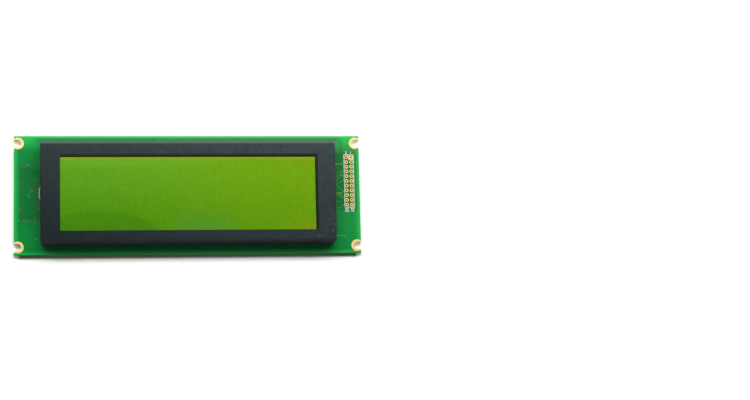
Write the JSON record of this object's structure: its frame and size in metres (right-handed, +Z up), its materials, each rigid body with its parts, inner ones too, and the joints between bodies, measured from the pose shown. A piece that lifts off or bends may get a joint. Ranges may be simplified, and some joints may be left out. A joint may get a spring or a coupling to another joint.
{
  "type": "graphic lcd module",
  "caption": "Graphic liquid crystal display module: a folded metal bezel with a wide window on a circuit board with driver chips behind.",
  "frame": {"origin": "middle of the four corner notches on the front face of the circuit board", "axes": "+X along the board to the pin header's end, +Y from the display's front to its component side, +Z up across the board; seen from the front along +Y the picture is upright"},
  "size_m": [0.18, 0.0154, 0.0624],
  "materials": {
    "solder_mask": "green solder mask over copper",
    "bezel_paint": "satin black paint on thin steel",
    "gold_plating": "gold plated copper",
    "tin": "tinned metal and solder",
    "package_black": "moulded epoxy",
    "glob_black": "cured epoxy drop",
    "tantalum_orange": "moulded case",
    "resistor_black": "glazed ceramic",
    "capacitor_tan": "fired ceramic",
    "diode_glass": "coloured glass",
    "sticker": "white paper sticker",
    "polarizer": "satin yellow green film",
    "display_glass": "clear display glass",
    "liquid_crystal": "thin liquid layer",
    "seal_glue": "cured seal",
    "contact_rubber": "layered conductive rubber",
    "white_plastic": "moulded white plastic",
    "diffuser": "milky acrylic",
    "light_emitter": "clear yellow green resin",
    "silicon": "polished silicon"
  },
  "bodies": {
    "root": {"main_board": "solder_mask", "corner_lands": "gold_plating", "slot_lands": "gold_plating", "jumper_pads": "gold_plating", "bezel": "bezel_paint", "bezel_solder_tack": "tin", "front_polarizer": "polarizer", "front_glass": "display_glass", "cell_seal": "seal_glue", "liquid_crystal": "liquid_crystal", "rear_glass": "display_glass", "rear_polarizer": "polarizer", "zebra_strip_upper": "contact_rubber", "zebra_strip_lower": "contact_rubber", "backlight_housing": "white_plastic", "backlight_diffuser": "diffuser", "backlight_board": "solder_mask", "backlight_leds": "light_emitter", "backlight_pins": "tin", "backlight_solder": "tin", "controller_chip": "package_black", "controller_leads": "tin", "memory_chip": "package_black", "memory_leads": "tin", "op_amp_chip": "package_black", "op_amp_leads": "tin", "converter_chips": "package_black", "converter_leads": "tin", "transistor": "package_black", "transistor_leads": "tin", "driver_globs": "glob_black", "driver_dies": "silicon", "resonator": "package_black", "resonator_feet": "tin", "tantalum_capacitors_small": "tantalum_orange", "tantalum_capacitors_large": "tantalum_orange", "tantalum_terminals": "tin", "chip_resistors": "resistor_black", "chip_capacitors": "capacitor_tan", "glass_diodes": "diode_glass", "diode_caps": "tin", "label_left": "sticker", "label_right": "sticker"}
  },
  "joints": []
}
